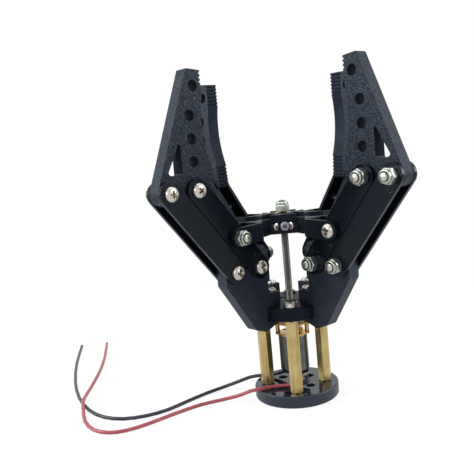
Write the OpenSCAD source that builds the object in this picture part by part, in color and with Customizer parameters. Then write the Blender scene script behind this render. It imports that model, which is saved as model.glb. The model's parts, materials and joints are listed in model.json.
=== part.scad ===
// Electric gripper with four parallel jaws: a small gearmotor turns a lead screw, and the
// crosshead that rides on the screw folds four pairs of links inwards.
// Origin: centre of the base disc's underside, +Z up along the lead screw, jaws fully open.

/* [Base] */
// Diameter of the base disc
disc_d = 35; // [32:0.5:50]
// Thickness of the base disc
disc_t = 5; // [4:0.5:8]
// Radius of the circle that the four mounting holes stand on
mount_ring_r = 8; // [7.5:0.5:8.5]
// Diameter of the mounting holes
mount_hole_d = 3.8; // [2.5:0.1:4]
// Length of the hexagonal standoffs
standoff_len = 30; // [29:0.5:45]
// Width of a standoff across its flats
standoff_af = 5; // [4.5:0.1:5.5]
// Radius of the circle that the standoffs stand on
standoff_ring_r = 12; // [11.5:0.1:12.2]

/* [Motor] */
// Width of the motor can and its gearbox
motor_w = 12; // [11:0.1:12.4]
// Thickness of the motor can across its flats
motor_h = 10; // [9:0.1:10.4]
// Length of the steel can
can_len = 15; // [10:0.5:16]
// Height of the open gearbox, plates included
gearbox_len = 9; // [9:0.5:10]
// Thickness of a gearbox plate
gear_plate_t = 0.8; // [0.5:0.1:1]
// Direction of the can's wide side, seen from above
motor_turn = 135; // [0:45:315]

/* [Hub] */
// Radius of the round hub plate
hub_r = 15.5; // [15.2:0.1:17]
// Thickness of the hub plate
hub_t = 5.5; // [4:0.1:6]

/* [Jaws] */
// Thickness of the brackets and fingers
jaw_t = 5.4; // [4.5:0.1:6]
// Distance of the inner frame pivot from the axis
pivot_r = 18.4; // [18:0.1:21]
// Height of the frame pivots above the hub's underside
pivot_rise = 23; // [22:0.5:26]
// Distance between the inner and the outer pivot
pivot_gap = 12; // [11.8:0.1:14]
// Length of the links from pivot to pivot
link_len = 42; // [40:0.5:48]
// Width of a link plate
link_w = 9; // [8:0.1:9.1]
// Thickness of a link plate
link_t = 1.5; // [1:0.1:2]
// Lean of the links from upright when the jaws are open
link_open = 39; // [36:1:40]
// Lean of the links when the jaws are shut
link_shut = -8; // [-8:1:0]
// Running gap between flat pieces that move past each other
side_gap = 0.1; // [0.05:0.01:0.15]
// Radius of the bracket's rounded ends round its pivots
bracket_end_r = 4.5; // [4:0.1:4.5]
// Height of the bracket's foot above the hub plate
foot_h = 5.8; // [4:0.1:7]

/* [Fingers] */
// Height of the finger tip above its pivots
tip_h = 42.8; // [40:0.2:50]
// Width of the finger at its tip
tip_w = 6.2; // [5:0.1:8]
// Diameter of the four holes in a finger
finger_hole_d = 4; // [2:0.1:4.4]
// Depth of the concave grip between its two ribbed ends
grip_hollow = 1.9; // [0:0.1:3]
// Depth of the grip's ribs
rib_depth = 0.5; // [0.2:0.05:0.8]
// Number of ribs at each end of the grip
rib_count = 6; // [3:1:8]

/* [Crosshead and rods] */
// Distance from the frame pivot up the link to the rod's pivot
rod_at = 17; // [16:0.5:18]
// Radius from the axis to the crosshead's pins
pin_r = 8.35; // [8.2:0.05:8.6]
// Height of the crosshead's pins above the frame pivots
pin_rise = 14.3; // [13.5:0.1:15]
// Distance from the axis to a flat of the crosshead
cross_flat = 8.5; // [8.4:0.05:8.8]
// Width of a flat face of the crosshead
cross_face_w = 11; // [10.6:0.1:11.4]
// Height of the crosshead above its pins
cross_top = 4.6; // [4:0.1:4.8]
// Depth of the crosshead below its pins
cross_bottom = 3.1; // [3:0.1:4]
// Width of the rod's tongue
tongue_w = 4; // [3:0.1:4.2]
// Height of a rod
rod_h = 7.4; // [6:0.1:7.4]
// Thickness of a rod's prong
prong_t = 1.5; // [1:0.1:1.8]

/* [Fasteners] */
// Diameter of the pivot screws
screw_d = 3; // [2.5:0.1:3]
// Diameter of a pan head
head_d = 5.5; // [4.8:0.1:5.8]
// Height of a pan head
head_h = 1.8; // [1.2:0.1:2]
// Width of a lock nut across its flats
nut_af = 5.5; // [5:0.1:5.5]
// Height of a lock nut with its nylon ring
nut_h = 4; // [3:0.1:4]
// Diameter of the crosshead's pins
pin_d = 2.2; // [1.5:0.1:2.4]
// Diameter of the small screws that hold the brackets
foot_screw_d = 2; // [1.6:0.1:2.2]
// Diameter of the lead screw
lead_d = 3; // [2.5:0.1:3]
// Radial clearance of a turning fit
run_fit = 0.05; // [0.02:0.01:0.08]

/* [Hidden] */
$fn = 48;
JAWS = [["front_left", 225], ["front_right", 315], ["back_left", 135], ["back_right", 45]];
JAW_PARTS = ["bracket", "inner_link", "outer_link", "finger", "finger_screws", "finger_nuts",
    "rod", "rod_pivot"];
FRAME_PARTS = ["base_plate", "base_screws", "standoffs", "hub_plate", "hub_screws", "motor_can",
    "motor_end_cap", "motor_terminals", "gearbox_plates", "gearbox_pillars", "motor_screws",
    "bracket_screws", "frame_pivot_screws", "frame_pivot_nuts", "black_wire", "red_wire"];
DRIVE_PARTS = ["motor_pinion", "idler_gear", "output_gear", "lead_screw", "top_lock_nut",
    "crosshead", "drive_nut", "crosshead_pins", "nut_clamp_bolt"];

black = [0.06, 0.07, 0.09];
gloss_black = [0.03, 0.03, 0.04];
brass = [0.72, 0.58, 0.33];
steel = [0.72, 0.72, 0.70];
zinc = [0.62, 0.66, 0.60];
dark_steel = [0.25, 0.25, 0.26];

eps = 0.01;
seat = 0.02;                                 // clearance between pieces that are fixed together
hub_z = disc_t + standoff_len;
hub_top = hub_z + hub_t;
pivot_z = hub_z + pivot_rise;

// frame pivots, finger pivots and rod pivots of a jaw, as [distance from axis, height]
frame_in = [pivot_r, pivot_z];
frame_out = [pivot_r + pivot_gap, pivot_z];
finger_in = frame_in + link_len * [sin(link_open), cos(link_open)];
finger_out = finger_in + [pivot_gap, 0];
rod_end = frame_in + rod_at * [sin(link_open), cos(link_open)];
rod_shut = frame_in + rod_at * [sin(link_shut), cos(link_shut)];
pin = [pin_r, pivot_z + pin_rise];
rod_len = norm(rod_end - pin);
rod_tilt = atan2(rod_end[1] - pin[1], rod_end[0] - pin[0]);
rod_shut_lean = asin((rod_shut[0] - pin_r) / rod_len);
cross_drop = pin[1] - rod_shut[1] + rod_len * cos(rod_shut_lean);

// layers of a jaw, from its middle plane outwards
link_in = jaw_t / 2 + side_gap;
link_out = link_in + link_t;
prong_in = link_out + side_gap;
prong_out = prong_in + prong_t;

screw_bore = screw_d + 2 * run_fit;
stub = 0.6;                                  // thread that stands out of a nut
nut_hex_h = nut_h * 0.7;
link_end_r = link_w / 2;

// motor, from the hub's underside down
can_top = hub_z - gearbox_len;
can_z = can_top - can_len;
cap_t = 1.4;
cap_z = can_z - cap_t;
gear_mid_z = hub_z - gearbox_len * 0.53;
motor_screw_at = motor_w * 0.375;
motor_screw_d = 1.6;
motor_head_d = 3;
motor_head_h = 1.2;
motor_head_z = hub_top - motor_head_h - 0.3;
pillar_d = 1.8;
terminal_at = 5.1;
terminal_len = 1.6;

// gear train: motor pinion, idler wheel and pinion, output gear
gear_module = 0.25;
gear_run = 0.12;
motor_teeth = 10;
wheel_teeth = 16;
small_teeth = 8;
output_teeth = 18;
idler_at = gear_module * (motor_teeth + wheel_teeth) / 2;
gear_t = 1.6;

// screw line
lead_z = gear_mid_z + 0.1;
cross_z = pin[1] - cross_bottom;
cross_h = cross_bottom + cross_top;
top_nut_z = pin[1] + cross_top + 0.4;
lead_top = top_nut_z + nut_h + stub;
drive_nut_d = 6.6;
clamp_head_d = 3.6;
clamp_head_h = 1.6;
clamp_x = 0.5;
slot_w = tongue_w + 4 * side_gap;
tongue_end_r = 3.1;
slot_r = pin_r - tongue_end_r - 0.35;
loop_slack = 2.6;                            // play of the link in its fork between open and shut

// brackets
foot_in = 8.2;
foot_top = hub_top + foot_h;
foot_screw_r = (foot_in + pivot_r - bracket_end_r) / 2 - 0.9;
foot_head_d = 3.8;
foot_head_h = 1.4;
foot_screw_end = hub_z - 1.2;
web_in = motor_w / 2 + 0.8;

// base and hub screws
base_head_sink = 2.5;
thread_in = 8;                               // screw thread inside a standoff
standoff_twist = [20, 8, -10, 0];

// finger outline, measured from the inner pivot
tip_in = finger_in[0] - 6.6;
rib_top_len = 9;
rib_low_len = 9;
toe = [-8.3, -2.2];
heel_r = 4.3;

// wires
wire_d = 1.5;
black_route = [[-4.2, 4.2, 8.4], [-6.4, 5.4, 7.5], [-9.6, 6.4, 6.3], [-15, 6.9, 5.9],
    [-20, 6.9, 5.4], [-25, 7.2, 3.7], [-29, 7.6, 2.3], [-33.5, 6.8, 1.2],
    [-39, 3.2, 0.8], [-46.5, -4.8, 0.8], [-53.5, -12.5, 0.8], [-61.5, -17.3, 0.8],
    [-70.5, -19, 0.8], [-79.5, -16, 0.8], [-88, -8, 0.8], [-97, 6.5, 0.8], [-105.5, 27, 0.8],
    [-114, 55, 0.8], [-121, 86, 0.8]];
red_route = [[4.2, -4.2, 8.4], [4.7, -5.8, 7.4], [2.3, -6.9, 6.4], [-4, -6.5, 5.9],
    [-10.5, -7.2, 5.85], [-15, -8.8, 5.85], [-19, -9, 5.3], [-23, -8, 3.6], [-27.5, -6.6, 2],
    [-33, -6.2, 0.9], [-40.5, -9.5, 0.8], [-50, -17, 0.8], [-59.5, -25.5, 0.8],
    [-66.5, -30, 0.8], [-73, -31.2, 0.8], [-80, -28, 0.8], [-86.2, -19.5, 0.8],
    [-90, -9.5, 1.6], [-92.3, -2, 2.5], [-94, 7, 1.6], [-95.5, 21, 0.8], [-97.5, 41, 0.8],
    [-101, 62, 0.8], [-107, 88, 0.8]];

// ---------------------------------------------------------------- outlines

// direction of the tangent's outward normal between two circles [x, y, r] of a convex outline
function tangent_normal(a, b) =
    atan2(b[1] - a[1], b[0] - a[0]) - acos((a[2] - b[2]) / norm([b[0] - a[0], b[1] - a[1]]));

// rounded corner of a convex outline round circle b, between its neighbours a and c
function corner(a, b, c, steps) =
    let (from = tangent_normal(a, b), turn = (tangent_normal(b, c) - from + 720) % 360)
    [for (i = [0:steps]) [b[0], b[1]] + b[2] * [cos(from + turn * i / steps), sin(from + turn * i / steps)]];

// outline that a belt round the circles would take, listed anticlockwise
function belt(c, steps = 8) =
    [for (i = [0:len(c) - 1]) each corner(c[(i + len(c) - 1) % len(c)], c[i], c[(i + 1) % len(c)], steps)];

// ribs down a face from one point to another; the grooves go towards +X
function ribs(from, to, count, depth) =
    [for (i = [0:count - 1]) for (q = [[0, 0], [0.5, 0], [0.62, 1], [0.88, 1]])
        from + (to - from) * (i + q[0]) / count + [depth * q[1], 0]];

// shallow hollow between two points of the grip
function hollow(from, to, depth, steps) =
    [for (i = [1:steps - 1]) let (t = i / steps) from + (to - from) * t + [4 * depth * t * (1 - t), 0]];

// ---------------------------------------------------------------- placing

// turns a jaw drawn along +X to its place round the axis
module at_jaw(j) {
    rotate(j[1]) children();
}

// stands an outline in the jaw's upright plane, as a plate from y = low to y = high
module plate(low, high) {
    translate([0, high, 0]) rotate([90, 0, 0]) linear_extrude(high - low) children();
}

// puts a piece drawn along +Z at point p of the jaw, pointing to side +Y or -Y
module across(p, y, side) {
    translate([p[0], y, p[1]]) rotate([-90 * side, 0, 0]) children();
}

// cuts a bore of diameter d through a plate of the jaw at each point
module drill(points, d) {
    difference() {
        children();
        for (p = points) across(p, -20, 1) cylinder(d = d, h = 40);
    }
}

// four places on a circle round the axis
module ring(r, first) {
    for (a = [0:90:270]) rotate(first + a) translate([r, 0, 0]) children();
}

module at_motor() {
    rotate(motor_turn) children();
}

// ---------------------------------------------------------------- fasteners

module pan_head(d, h) {
    rotate_extrude() polygon(concat([[0, 0], [d / 2, 0], [d / 2, h * 0.35]],
        [for (a = [15:15:90]) [d / 2 * cos(a), h * (0.35 + 0.65 * sin(a))]]));
}

// screw whose head stands on z = 0 and whose shank goes down
module pan_screw(d, long, big, high) {
    pan_head(big, high);
    translate([0, 0, -long]) cylinder(d = d, h = long + eps);
}

module lock_nut(af, h, bore) {
    hex_h = h * 0.7;
    difference() {
        union() {
            intersection() {
                cylinder(d = af / cos(30), h = hex_h, $fn = 6);
                cylinder(d1 = af * 1.05, d2 = af * 1.05 + 2 * hex_h, h = hex_h);
                cylinder(d1 = af * 1.05 + 2 * hex_h, d2 = af * 1.05, h = hex_h);
            }
            cylinder(d = af * 0.9, h = h);
        }
        translate([0, 0, -1]) cylinder(d = bore, h = h + 2);
    }
}

// pivot screw through a jaw's link plates: the head on side, the nut on the other
module pivot_screw(p, side) {
    reach = link_out + seat;
    across(p, side * reach, side) pan_screw(screw_d, 2 * reach + nut_h + stub, head_d, head_h);
}

module pivot_nut(p, side) {
    across(p, side * (link_out + seat), side) lock_nut(nut_af, nut_h, screw_d + 2 * seat);
}

// ---------------------------------------------------------------- base

module base_plate() {
    edge = 0.4;
    color(black) difference() {
        rotate_extrude() polygon([[0, 0], [disc_d / 2 - edge, 0], [disc_d / 2, edge],
            [disc_d / 2, disc_t - edge], [disc_d / 2 - edge, disc_t], [0, disc_t]]);
        ring(mount_ring_r, 45) translate([0, 0, -1]) cylinder(d = mount_hole_d, h = disc_t + 2);
        ring(standoff_ring_r, 0) {
            translate([0, 0, -1]) cylinder(d = screw_d + 2 * run_fit, h = disc_t + 2);
            translate([0, 0, -1]) cylinder(d = head_d + 0.4, h = base_head_sink + 1);
        }
    }
}

module base_screws() {
    color(steel) ring(standoff_ring_r, 0) translate([0, 0, base_head_sink]) mirror([0, 0, 1])
        pan_screw(screw_d, disc_t - base_head_sink + thread_in, head_d, head_h);
}

// hexagonal pillars, each stopped at its own angle when it was screwed tight
module standoffs() {
    chamfer = 0.5;
    corner_d = standoff_af / cos(30);
    color(brass) for (i = [0:3]) rotate(90 * i) translate([standoff_ring_r, 0, disc_t])
        rotate(standoff_twist[i]) difference() {
        intersection() {
            cylinder(d = corner_d, h = standoff_len, $fn = 6);
            rotate_extrude() polygon([[0, 0], [corner_d / 2 - chamfer, 0],
                [corner_d / 2 + chamfer, 2 * chamfer],
                [corner_d / 2 + chamfer, standoff_len - 2 * chamfer],
                [corner_d / 2 - chamfer, standoff_len], [0, standoff_len]]);
        }
        translate([0, 0, -1]) cylinder(d = screw_d + 2 * seat, h = thread_in + 2.5);
        translate([0, 0, standoff_len - thread_in - 1.5])
            cylinder(d = screw_d + 2 * seat, h = thread_in + 2.5);
    }
}

// ---------------------------------------------------------------- motor

module motor_section(shrink) {
    intersection() {
        circle(d = motor_w - 2 * shrink);
        square([motor_w, motor_h - 2 * shrink], center = true);
    }
}

module motor_can() {
    bearing_d = 4;
    color(steel) at_motor() translate([0, 0, can_z]) difference() {
        linear_extrude(can_len) motor_section(0);
        translate([0, 0, can_len - 1]) cylinder(d = 1 + 2 * run_fit, h = 2);
    }
}

module motor_end_cap() {
    color(black) at_motor() {
        translate([0, 0, cap_z]) linear_extrude(cap_t) motor_section(0.4);
        translate([0, 0, cap_z - 0.6]) cylinder(d = 4.5, h = 0.6 + eps);
    }
}

module motor_terminals() {
    color(brass) at_motor() for (s = [-1, 1])
        translate([s * (terminal_at + 0.15), 0, cap_z - terminal_len / 2])
            cube([0.3, 1.6, terminal_len], center = true);
}

module gearbox_plates() {
    color(brass) at_motor() for (z = [can_top, gear_mid_z, hub_z - gear_plate_t]) translate([0, 0, z])
        difference() {
            linear_extrude(gear_plate_t) intersection() {
                square([motor_w, motor_h], center = true);
                circle(d = motor_w * 1.18);
            }
            translate([0, 0, -1]) cylinder(d = lead_d + 2 * run_fit, h = gear_plate_t + 2);
            translate([-idler_at, 0, -1]) cylinder(d = 0.8 + 2 * run_fit, h = gear_plate_t + 2);
            for (s = [-1, 1]) translate([s * motor_screw_at, 0, -1])
                cylinder(d = motor_screw_d + 2 * seat, h = gear_plate_t + 2);
        }
}

module gearbox_pillars() {
    stage = [[can_top + gear_plate_t, gear_mid_z], [gear_mid_z + gear_plate_t, hub_z - gear_plate_t]];
    color(brass) at_motor() for (s = stage) for (x = [-1, 1]) for (y = [-1, 1])
        translate([x * (motor_w / 2 - 1.2), y * (motor_h / 2 - 1.2), s[0]])
            cylinder(d = pillar_d, h = s[1] - s[0]);
}

module motor_screws() {
    color(steel) at_motor() for (s = [-1, 1]) translate([s * motor_screw_at, 0, motor_head_z])
        pan_screw(motor_screw_d, motor_head_z - hub_z + gear_plate_t, motor_head_d, motor_head_h);
}

// gear of straight-flanked teeth; the first tooth points along +X
module gear(teeth, t, bore) {
    pitch = gear_module * teeth / 2;
    step = 360 / teeth;
    difference() {
        linear_extrude(t) polygon([for (i = [0:teeth - 1]) for (q = [[-0.36, -1.2], [-0.2, 0.1], [-0.1, 0.95],
            [0.1, 0.95], [0.2, 0.1], [0.36, -1.2]])
            (pitch + gear_module * q[1] - gear_run / 4) * [cos(step * (i + q[0])), sin(step * (i + q[0]))]]);
        if (bore > 0) translate([0, 0, -1]) cylinder(d = bore, h = t + 2);
    }
}

module motor_pinion() {
    z = can_top + gear_plate_t + 0.5;
    color(brass) at_motor() {
        translate([0, 0, z]) rotate(180 + 180 / motor_teeth) gear(motor_teeth, gear_t, 0);
        translate([0, 0, can_top - 0.8]) cylinder(d = 1, h = z - can_top + 0.8 + eps);
    }
}

module idler_gear() {
    wheel_z = can_top + gear_plate_t + 0.5;
    small_z = hub_z - gear_plate_t - 0.4 - gear_t;
    color(brass) at_motor() translate([-idler_at, 0, 0]) {
        translate([0, 0, wheel_z]) gear(wheel_teeth, gear_t, 0);
        translate([0, 0, small_z]) rotate(180 / small_teeth) gear(small_teeth, gear_t, 0);
        translate([0, 0, can_top + 0.2]) cylinder(d = 0.8, h = gearbox_len - 0.4);
    }
}

module output_gear() {
    color(brass) at_motor() translate([0, 0, hub_z - gear_plate_t - 0.4 - gear_t]) rotate(180)
        gear(output_teeth, gear_t, lead_d + 2 * seat);
}

// ---------------------------------------------------------------- hub

module hub_plate() {
    edge = 0.4;
    color(black) difference() {
        rotate_extrude() polygon([[0, hub_z], [hub_r - edge, hub_z], [hub_r, hub_z + edge],
            [hub_r, hub_top - edge], [hub_r - edge, hub_top], [0, hub_top]]);
        translate([0, 0, hub_z - 1]) cylinder(d = lead_d + 0.6, h = hub_t + 2);
        ring(foot_screw_r, 45) translate([0, 0, hub_z - 1])
            cylinder(d = foot_screw_d + 2 * run_fit, h = hub_t + 2);
        ring(standoff_ring_r, 0) translate([0, 0, hub_z - 1])
            cylinder(d = screw_d + 2 * run_fit, h = hub_t + 2);
        at_motor() for (s = [-1, 1]) translate([s * motor_screw_at, 0, hub_z - 1]) {
            cylinder(d = motor_screw_d + 2 * run_fit, h = hub_t + 2);
            translate([0, 0, motor_head_z - hub_z + 1]) cylinder(d = motor_head_d + 0.2, h = hub_t);
        }
    }
}

module hub_screws() {
    color(steel) ring(standoff_ring_r, 0) translate([0, 0, hub_top])
        pan_screw(screw_d, hub_t + thread_in, head_d, head_h);
}

// ---------------------------------------------------------------- screw line

// threaded output shaft of the gearbox, from the output gear to the top lock nut
module lead_screw() {
    tip = 0.4;
    color(dark_steel) rotate_extrude() polygon([[0, lead_z], [lead_d / 2, lead_z],
        [lead_d / 2, lead_top - tip], [lead_d / 2 - tip, lead_top], [0, lead_top]]);
}

module top_lock_nut() {
    color(zinc) translate([0, 0, top_nut_z]) lock_nut(nut_af, nut_h, lead_d + 2 * seat);
}

module drive_nut() {
    color(brass) translate([0, 0, cross_z]) difference() {
        cylinder(d = drive_nut_d, h = cross_h);
        translate([0, 0, -1]) cylinder(d = lead_d + 2 * run_fit, h = cross_h + 2);
    }
}

// ---------------------------------------------------------------- crosshead

// square block with cut corners, slotted at each corner for a rod's tongue
module crosshead() {
    half = cross_face_w / 2;
    bolt_bore = foot_screw_d + 2 * seat;
    color(black) difference() {
        translate([0, 0, cross_z]) linear_extrude(cross_h) polygon([for (a = [0:90:270]) for (s = [-1, 1])
            [cross_flat * cos(a) - s * half * sin(a), cross_flat * sin(a) + s * half * cos(a)]]);
        translate([0, 0, cross_z - 1]) cylinder(d = drive_nut_d + 2 * seat, h = cross_h + 2);
        for (j = JAWS) at_jaw(j) {
            translate([slot_r, -slot_w / 2, cross_z - 1]) cube([cross_flat, slot_w, cross_h + 2]);
            across(pin, -20, 1) cylinder(d = pin_d + 2 * seat, h = 40);
        }
        translate([clamp_x, -drive_nut_d / 4, pin[1]]) rotate([90, 0, 0])
            cylinder(d = bolt_bore, h = cross_flat);
    }
}

module crosshead_pins() {
    reach = cross_flat * sqrt(2) - pin_r + 0.6;
    color(steel) for (j = JAWS) at_jaw(j) across(pin, -reach, 1) cylinder(d = pin_d, h = 2 * reach);
}

// clamps the drive nut in the crosshead from its front flat
module nut_clamp_bolt() {
    grip = cross_flat - drive_nut_d / 2 - 2 * seat;
    color([0.45, 0.42, 0.55]) translate([clamp_x, -cross_flat, pin[1]]) rotate([90, 0, 0]) {
        cylinder(d = clamp_head_d, h = clamp_head_h);
        translate([0, 0, -grip]) cylinder(d = foot_screw_d, h = grip + eps);
    }
}

// ---------------------------------------------------------------- jaw pieces

module bracket() {
    lip = bracket_end_r;
    outer = frame_out[0] + lip;
    color(black) drill([frame_in, frame_out], screw_bore) difference() {
        plate(-jaw_t / 2, jaw_t / 2) {
            translate(frame_in) circle(lip);
            translate(frame_out) circle(lip);
            polygon([[web_in, hub_z - 0.4], [frame_in[0] - 1.7, hub_z - 3.8],
                [frame_in[0] + 3.6, hub_z - 1.8], [outer, pivot_z - 5], [outer, pivot_z],
                [frame_out[0], pivot_z + lip], [frame_in[0], pivot_z + lip],
                [frame_in[0] - lip, pivot_z], [frame_in[0] - lip, foot_top],
                [foot_in, foot_top], [foot_in, hub_z + 1], [web_in, hub_z + 1]]);
        }
        translate([0, 0, hub_z - seat]) cylinder(r = hub_r + seat, h = hub_t + 2 * seat);
        translate([foot_screw_r, 0, foot_screw_end - seat])
            cylinder(d = foot_screw_d + 2 * seat, h = foot_top);
    }
}

module bracket_screws() {
    long = foot_top - foot_screw_end;
    color(steel) for (j = JAWS) at_jaw(j) translate([foot_screw_r, 0, foot_top + seat])
        pan_screw(foot_screw_d, long, foot_head_d, foot_head_h);
}

module frame_pivot_screws() {
    color(steel) for (j = JAWS) at_jaw(j) for (p = [frame_in, frame_out]) pivot_screw(p, 1);
}

module frame_pivot_nuts() {
    color(zinc) for (j = JAWS) at_jaw(j) for (p = [frame_in, frame_out]) pivot_nut(p, -1);
}

// two plates and the spacer tube between them
module link(a, b) {
    spacer_d = 4;
    middle = a + (b - a) * 0.62;
    outline = belt([[a[0], a[1], link_end_r], [b[0], b[1], link_end_r]], 12);
    color(gloss_black) for (s = [-1, 1]) drill([a, b], screw_bore)
        plate(min(s * link_in, s * link_out), max(s * link_in, s * link_out)) polygon(outline);
    color(gloss_black) across(middle, -link_in, 1) cylinder(d = spacer_d, h = 2 * link_in);
}

// grip face down from the tip: ribs, a hollow, ribs again
function grip() =
    let (top = [tip_in, finger_in[1] + tip_h - 0.6], upper = top - [0, rib_top_len],
        lower = finger_in + [-8.5, rib_low_len - 2], bottom = finger_in + [toe[0] - 1, toe[1]])
    concat(ribs(top, upper, rib_count, rib_depth), [upper], hollow(upper, lower, grip_hollow, 10),
        ribs(lower, bottom, rib_count, rib_depth));

module finger() {
    tip_out = tip_in + tip_w;
    body = [[toe[0], toe[1], 1], [0, 0, link_end_r], [pivot_gap, 0, heel_r],
        [tip_out - finger_in[0] - 0.6, tip_h - 0.6, 0.6], [-6.6 + 0.8, tip_h - 0.8, 0.8]];
    holes = [[-2.9, tip_h - 6], [-0.2, 26.6], [-0.2, 18.4], [-0.3, 10.4]];
    slot = [[5.9, 6.6, 0.9], [10, 7.2, 0.9], [5.4, 16.2, 0.5]];
    ring_points = [for (p = belt(body)) finger_in + p];
    outline = [for (p = ring_points) if (p[0] > tip_in + 0.9 || p[1] < finger_in[1]) p];
    color(black) drill([for (h = holes) finger_in + h], finger_hole_d)
        drill([finger_in, finger_out], screw_bore)
        plate(-jaw_t / 2, jaw_t / 2) difference() {
            polygon(concat(outline, grip()));
            translate(finger_in) polygon(belt(slot));
        }
}

module finger_screws() {
    color(steel) for (p = [finger_in, finger_out]) pivot_screw(p, 1);
}

module finger_nuts() {
    color(zinc) for (p = [finger_in, finger_out]) pivot_nut(p, -1);
}

// ---------------------------------------------------------------- rods

// outline of one side of the fork seen from above: a tongue that swells into a prong
function fork_side(side) =
    let (start = 4.8, sweep = 4.7, rise = prong_out - tongue_w / 2)
    [for (i = [0:8]) [start + sweep * i / 8, side * (tongue_w / 2 + rise * (1 - cos(180 * i / 8)) / 2)]];

// fork drawn along +X from its pin, the height of the rod along Z
module rod_body() {
    crotch = 9;
    end_r = rod_h / 2;
    room = link_end_r + loop_slack;
    difference() {
        intersection() {
            plate(-10, 10) polygon(belt([[0, 0, tongue_end_r], [rod_len, 0, end_r]], 12));
            translate([0, 0, -10]) linear_extrude(20) polygon(concat([[-5, -tongue_w / 2]], fork_side(-1),
                [[rod_len + 5, -prong_out], [rod_len + 5, prong_out]],
                [for (i = [8:-1:0]) fork_side(1)[i]], [[-5, tongue_w / 2]]));
        }
        // room for the link between the prongs
        translate([crotch, -prong_in, -10]) cube([rod_len, 2 * prong_in, 20]);
        // room for the link's plates under the root of the fork as the jaws shut
        for (low = [-prong_in, tongue_w / 2]) plate(low, low + prong_in - tongue_w / 2)
            translate([rod_len, 0]) rotate(187 + rod_shut_lean - link_shut) translate([0, -room])
                square([rod_at + link_end_r, 2 * room]);
        across([0, 0], -20, 1) cylinder(d = pin_d + 2 * run_fit, h = 40);
        across([rod_len, 0], -20, 1) cylinder(d = screw_d + 2 * seat, h = 40);
    }
}

module at_rod() {
    translate([pin[0], 0, pin[1]]) rotate([0, -rod_tilt, 0]) children();
}

module rod() {
    color(black) at_rod() rod_body();
}

// screw head and lock nut of the rod's outer end; the shank stops at the prongs
module rod_pivot() {
    at_rod() {
        color(steel) across([rod_len, 0], -prong_out - seat, -1) pan_screw(screw_d, prong_t, head_d, head_h);
        color(zinc) across([rod_len, 0], prong_out + seat, 1) {
            lock_nut(nut_af, nut_h, screw_d + 2 * seat);
            translate([0, 0, -prong_t]) cylinder(d = screw_d, h = prong_t + nut_h + stub);
        }
    }
}

// ---------------------------------------------------------------- wires

// points of a smooth curve through the route, with one extra point in each stretch
function smooth(route) = let (n = len(route) - 1) [for (i = [0:n]) each
    i == n ? [route[n]] : [route[i],
        (9 * (route[i] + route[i + 1]) - route[max(i - 1, 0)] - route[min(i + 2, n)]) / 16]];

module wire(path) {
    sides = 8;
    n = len(path) - 1;
    rings = [for (i = [0:n])
        let (run = path[min(i + 1, n)] - path[max(i - 1, 0)],
            u = cross([0, 0, 1], run) / norm(cross([0, 0, 1], run)),
            v = cross(run, u) / norm(run))
        for (k = [0:sides - 1]) path[i] + wire_d / 2 * (cos(360 * k / sides) * u + sin(360 * k / sides) * v)];
    walls = [for (i = [0:n - 1]) for (k = [0:sides - 1]) let (m = (k + 1) % sides)
        let (a = i * sides, b = a + sides) each [[a + k, b + m, a + m], [a + k, b + k, b + m]]];
    ends = [[for (k = [0:sides - 1]) k], [for (k = [sides - 1:-1:0]) n * sides + k]];
    polyhedron(rings, concat(walls, ends));
}

module black_wire() {
    color([0.10, 0.12, 0.16]) wire(smooth(black_route));
}

module red_wire() {
    color([0.70, 0.22, 0.27]) wire(smooth(red_route));
}

// ---------------------------------------------------------------- nodes

base_plate();
base_screws();
standoffs();
hub_plate();
hub_screws();
motor_can();
motor_end_cap();
motor_terminals();
gearbox_plates();
gearbox_pillars();
motor_screws();
bracket_screws();
frame_pivot_screws();
frame_pivot_nuts();
black_wire();
red_wire();
motor_pinion();
idler_gear();
output_gear();
lead_screw();
top_lock_nut();
crosshead();
drive_nut();
crosshead_pins();
nut_clamp_bolt();
for (j = JAWS) at_jaw(j) {
    bracket();
    link(frame_in, finger_in);
    link(frame_out, finger_out);
    finger();
    finger_screws();
    finger_nuts();
    rod();
    rod_pivot();
}
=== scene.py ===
# %% [markdown]
# # A gripper with four parallel jaws
#
# The real object is about 133 mm high. A small gearmotor stands between four brass
# standoffs and turns a threaded shaft. A crosshead rides on the thread, and its four
# forked rods fold four jaws of black plastic links. The imported model already holds every
# piece at its true size, so this lesson adds what a lens would see: soft edges, recessed
# screw heads, real threads, insulation on the wires, and the finish of each surface.
#
# First the imported model is loaded.

# %% Load the imported model
import json
import math

import bmesh
import bpy
from mathutils import Matrix, Vector
from mathutils.bvhtree import BVHTree


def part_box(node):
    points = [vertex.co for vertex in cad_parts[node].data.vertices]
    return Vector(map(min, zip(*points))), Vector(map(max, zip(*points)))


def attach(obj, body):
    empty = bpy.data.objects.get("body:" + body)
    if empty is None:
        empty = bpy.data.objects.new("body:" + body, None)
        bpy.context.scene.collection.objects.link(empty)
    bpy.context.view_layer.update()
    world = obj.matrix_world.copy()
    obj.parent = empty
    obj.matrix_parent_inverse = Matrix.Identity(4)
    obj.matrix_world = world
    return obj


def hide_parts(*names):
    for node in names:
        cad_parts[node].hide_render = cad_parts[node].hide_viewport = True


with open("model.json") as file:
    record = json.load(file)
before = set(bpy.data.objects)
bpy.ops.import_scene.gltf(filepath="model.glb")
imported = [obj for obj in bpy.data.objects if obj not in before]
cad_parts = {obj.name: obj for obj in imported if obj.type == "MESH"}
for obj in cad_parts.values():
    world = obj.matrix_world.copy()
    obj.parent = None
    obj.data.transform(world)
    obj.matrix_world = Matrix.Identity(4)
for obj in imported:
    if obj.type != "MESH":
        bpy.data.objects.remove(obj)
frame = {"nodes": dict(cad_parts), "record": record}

MM = 0.001
scene = bpy.context.scene
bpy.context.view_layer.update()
record = frame["record"]
JAWS = {"front_left": 225, "front_right": 315, "back_left": 135, "back_right": 45}

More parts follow.
